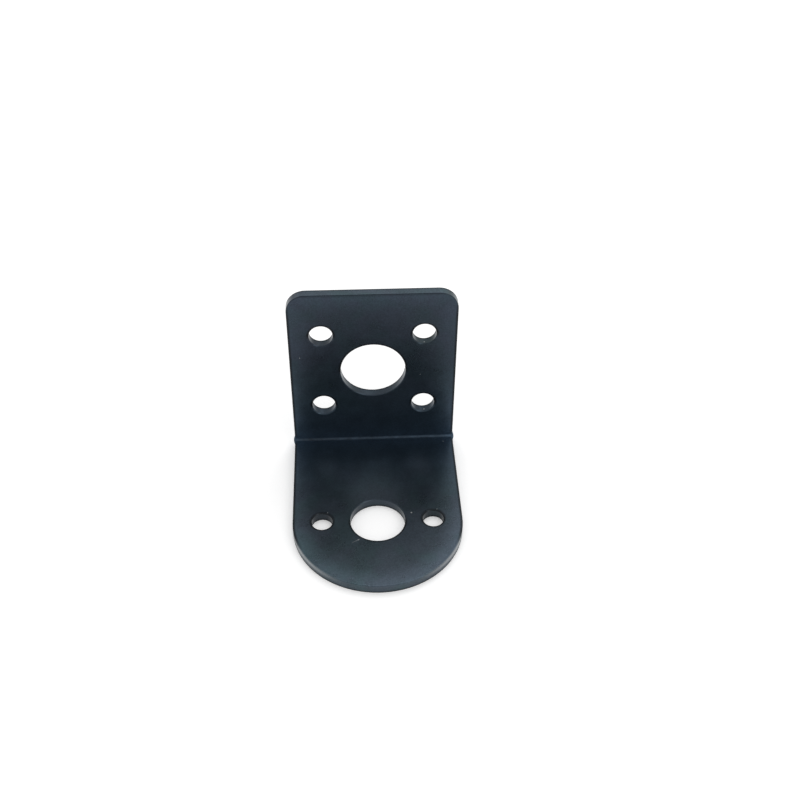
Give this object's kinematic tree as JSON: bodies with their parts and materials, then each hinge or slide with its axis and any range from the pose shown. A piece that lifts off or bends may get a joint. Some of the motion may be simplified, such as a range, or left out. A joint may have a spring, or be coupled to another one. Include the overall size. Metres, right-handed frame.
{
  "type": "motor mounting bracket",
  "caption": "Black L-shaped sheet-steel bracket for a small gear motor: round-ended motor plate with boss and screw holes, and a square upright with a bolt pattern.",
  "frame": {"origin": "on the motor plate's outer (under) face, at the axis of the hole for the motor's boss, which is also the axis of the plate's round end", "axes": "+Z along the motor's axis, from the plate's outer face to the inside of the fold, and up as it stands; +Y from the motor's axis to the upright; +X across the bracket"},
  "size_m": [0.0264, 0.0328, 0.0305],
  "materials": {
    "black_coat": "satin black coat on steel sheet"
  },
  "bodies": {
    "root": {"motor_bracket": "black_coat"}
  },
  "joints": []
}
